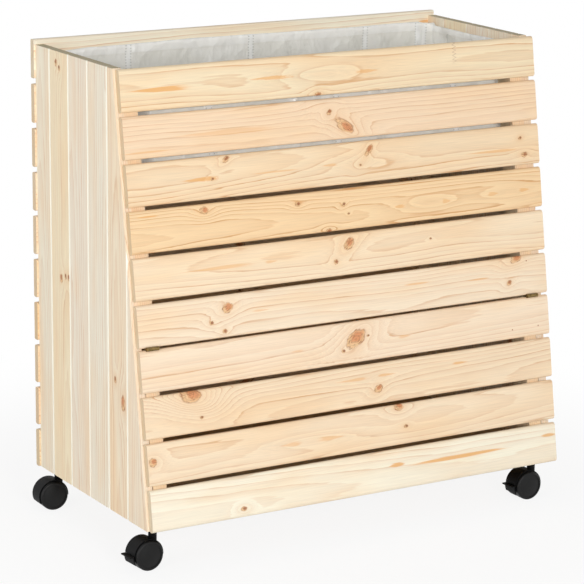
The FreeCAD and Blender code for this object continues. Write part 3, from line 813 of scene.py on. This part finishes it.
# look of the film; sizes are in mm and scales per mm
filmLook = {
    "bendScale": 0.02,
    "bend": (30, 30, 30),
    "folds": (0.03, 0.03, 0.02),
    "fine": (0.09, 0.09, 0.05),
    "fineShare": 0.3,
    "milky": (0.012, 0.012, 0.02),
    "milkyEdge": (0.4, 0.7),
    "milkyShare": 0.5,
    "milkyRoughness": 0.2,
    "hemEdge": 0.8,
    "hemShare": 0.8,
    "hemStep": 0.06,
    "seamEdge": (4.5, 6.0),
    "seamShare": 0.9,
    "dotWidth": 1.2,
    "dotRate": 1.3,
    "dotGap": 0.2,
    "dotShare": 0.45,
    "dotStep": 0.2,
    "throughLight": 0.15,
    "throughRadius": (1.0, 1.0, 0.95),
    "throughScale": 4 * mm,
    "bumpDepth": 6.0 * mm,
    "bumpStrength": 0.8,
}


def filmMaterial(hemLevel):
    material, tree, shader = startMaterial("liner film")
    look, point = filmLook, objectPoint(tree)
    place = splitXyz(tree, point)
    # crushed film: flat facets with sharp folds between them, and soft milky patches
    bend = addNode(tree, "ShaderNodeTexNoise", {"Vector": point, "Scale": look["bendScale"], "Detail": 2.0})
    bent = vecCalc(tree, "ADD", point, vecCalc(tree, "MULTIPLY", bend.outputs["Color"], look["bend"]))
    facets = lambda scale: addNode(tree, "ShaderNodeTexVoronoi", {"Vector": vecCalc(tree, "MULTIPLY", bent, scale),
                                   "Scale": 1.0}, feature="F1").outputs["Distance"]
    height = calc(tree, "MULTIPLY_ADD", facets(look["fine"]), look["fineShare"], facets(look["folds"]))
    milky = smoothStep(tree, noiseAt(tree, point, look["milky"], 2.0, 3.0), *look["milkyEdge"])
    # double film in the hem, and welded seams with a row of dots on each edge
    hem = smoothStep(tree, place[2], hemLevel - look["hemEdge"], hemLevel + look["hemEdge"])
    offSeam = None
    for middle in liner["seams"]:
        off = calc(tree, "ABSOLUTE", calc(tree, "SUBTRACT", place[0], middle))
        offSeam = off if offSeam is None else calc(tree, "MINIMUM", offSeam, off)
    seam = fadeOut(tree, offSeam, *look["seamEdge"])
    edge = calc(tree, "COMPARE", offSeam, look["seamEdge"][0], look["dotWidth"])
    beat = calc(tree, "SINE", calc(tree, "MULTIPLY", place[2], look["dotRate"]))
    dots = calc(tree, "MULTIPLY", edge, calc(tree, "GREATER_THAN", beat, look["dotGap"]))
    colour = paint(tree, srgb(*liner["tone"]), milky, look["milkyShare"], srgb(*liner["hemTone"]))
    colour = paint(tree, colour, hem, look["hemShare"], srgb(*liner["hemTone"]))
    colour = paint(tree, colour, seam, look["seamShare"], srgb(*liner["crease"]))
    colour = paint(tree, colour, dots, look["dotShare"], srgb(*liner["weld"]))
    tree.links.new(colour, shader.inputs["Base Color"])
    smoothest = liner["roughness"] - look["milkyRoughness"] / 2
    tree.links.new(calc(tree, "MULTIPLY_ADD", milky, look["milkyRoughness"], smoothest), shader.inputs["Roughness"])
    # light comes through the film
    shader.inputs["Subsurface Weight"].default_value = look["throughLight"]
    shader.inputs["Subsurface Radius"].default_value = look["throughRadius"]
    shader.inputs["Subsurface Scale"].default_value = look["throughScale"]
    height = calc(tree, "MULTIPLY_ADD", dots, look["dotStep"], height)
    height = calc(tree, "MULTIPLY_ADD", hem, look["hemStep"], height)
    setBump(tree, shader, height, look["bumpDepth"], look["bumpStrength"])
    return material


def makeLiner():
    bm, floor, top, marks = linerShape()
    fillFront(bm, floor, marks)
    crumple(bm, floor, top, marks)
    mesh = bpy.data.meshes.new("liner_film")
    bm.to_mesh(mesh)
    bm.free()
    for face in mesh.polygons:
        face.use_smooth = True
    piece = bpy.data.objects.new("liner_film", mesh)
    bpy.context.scene.collection.objects.link(piece)
    wall = piece.modifiers.new("film", "SOLIDIFY")
    wall.thickness = liner["thickness"]
    wall.offset = -1
    mesh.materials.append(filmMaterial((top - liner["hem"]) / mm))
    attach(piece, "planter")
    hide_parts("liner")


makeLiner()
print("liner hung")

# floor, light and camera
stage = {
    "floor": (0.93, 0.93, 0.92, 1),
    "spread": 30.0,
    "shadowRing": (0.4, 1.1),      # distances at which the shadow starts to fade and is gone
    "glowNear": 0.88,
    "fill": 0.58,
    "overhead": 0.31,
    "overheadEdge": (0.1, 0.7),
    "target": (0, 0, 0.45),
}
lamps = {
    "key": {"place": (-0.8, -4.6, 1.7), "size": 1.3, "power": 91},
    "side": {"place": (-4.2, -1.2, 1.3), "size": 2.2, "power": 59},
}
view = {"place": (-2.21367, -3.72338, 1.4485), "turn": -30.702, "tilt": 76.074, "roll": 0.556, "lens": 162.12,
        "sensor": 36, "clip": 100}


def seenDirectly(tree):
    path = addNode(tree, "ShaderNodeLightPath").outputs
    direct = calc(tree, "MAXIMUM", path["Is Camera Ray"], path["Is Glossy Ray"])
    return calc(tree, "MAXIMUM", direct, path["Is Transmission Ray"])


def makeFloor():
    bm = bmesh.new()
    bmesh.ops.create_grid(bm, x_segments=1, y_segments=1, size=stage["spread"])
    mesh = bpy.data.meshes.new("floor")
    bm.to_mesh(mesh)
    bm.free()
    floor = bpy.data.objects.new("floor", mesh)
    bpy.context.scene.collection.objects.link(floor)
    material, tree, shader = startMaterial("studio floor")
    shader.inputs["Base Color"].default_value = stage["floor"]
    shader.inputs["Roughness"].default_value = 0.9
    shader.inputs["Specular IOR Level"].default_value = 0.0
    glow = addNode(tree, "ShaderNodeEmission", {"Color": (1, 1, 1, 1), "Strength": 1.0}).outputs[0]
    # white all round, and near the object the shadow shows
    coords = addNode(tree, "ShaderNodeTexCoord").outputs["Object"]
    away = smoothStep(tree, vecCalc(tree, "LENGTH", coords), *stage["shadowRing"])
    glowing = calc(tree, "MULTIPLY_ADD", away, 1 - stage["glowNear"], stage["glowNear"])
    share = calc(tree, "MULTIPLY", seenDirectly(tree), glowing)
    mixed = addNode(tree, "ShaderNodeMixShader", {0: share, 1: shader.outputs[0], 2: glow}).outputs[0]
    output = next(node for node in tree.nodes if node.type == "OUTPUT_MATERIAL")
    tree.links.new(mixed, output.inputs["Surface"])
    mesh.materials.append(material)


def makeWorld():
    world = bpy.data.worlds.new("studio")
    world.use_nodes = True
    tree = world.node_tree
    tree.nodes.clear()
    seen = seenDirectly(tree)
    # white walls, and a darker room overhead
    direction = addNode(tree, "ShaderNodeTexCoord").outputs["Generated"]
    above = smoothStep(tree, splitXyz(tree, direction)[2], *stage["overheadEdge"])
    fill = calc(tree, "MULTIPLY_ADD", above, stage["overhead"] - stage["fill"], stage["fill"])
    strength = calc(tree, "MAXIMUM", seen, fill)
    sky = addNode(tree, "ShaderNodeBackground", {"Color": (1, 1, 1, 1), "Strength": strength}).outputs[0]
    tree.links.new(sky, addNode(tree, "ShaderNodeOutputWorld").inputs[0])
    bpy.context.scene.world = world


def softLamp(name, look):
    lamp = bpy.data.lights.new(name, "AREA")
    lamp.shape = "DISK"
    lamp.size = look["size"]
    lamp.energy = look["power"]
    holder = bpy.data.objects.new(name, lamp)
    holder.location = look["place"]
    aim = Vector(stage["target"]) - Vector(look["place"])
    holder.rotation_euler = aim.to_track_quat("-Z", "Y").to_euler()
    bpy.context.scene.collection.objects.link(holder)


def makeCamera():
    camera = bpy.data.cameras.new("camera")
    camera.lens = view["lens"]
    camera.sensor_width = view["sensor"]
    camera.clip_end = view["clip"]
    holder = bpy.data.objects.new("camera", camera)
    turned = (Matrix.Rotation(math.radians(view["turn"]), 4, "Z") @ Matrix.Rotation(math.radians(view["tilt"]), 4, "X")
              @ Matrix.Rotation(math.radians(view["roll"]), 4, "Z"))
    holder.matrix_world = Matrix.Translation(view["place"]) @ turned
    bpy.context.scene.collection.objects.link(holder)
    bpy.context.scene.camera = holder


makeFloor()
makeWorld()
for name, look in lamps.items():
    softLamp(name, look)
makeCamera()
bpy.context.scene.view_settings.view_transform = "Standard"
print("stage set")
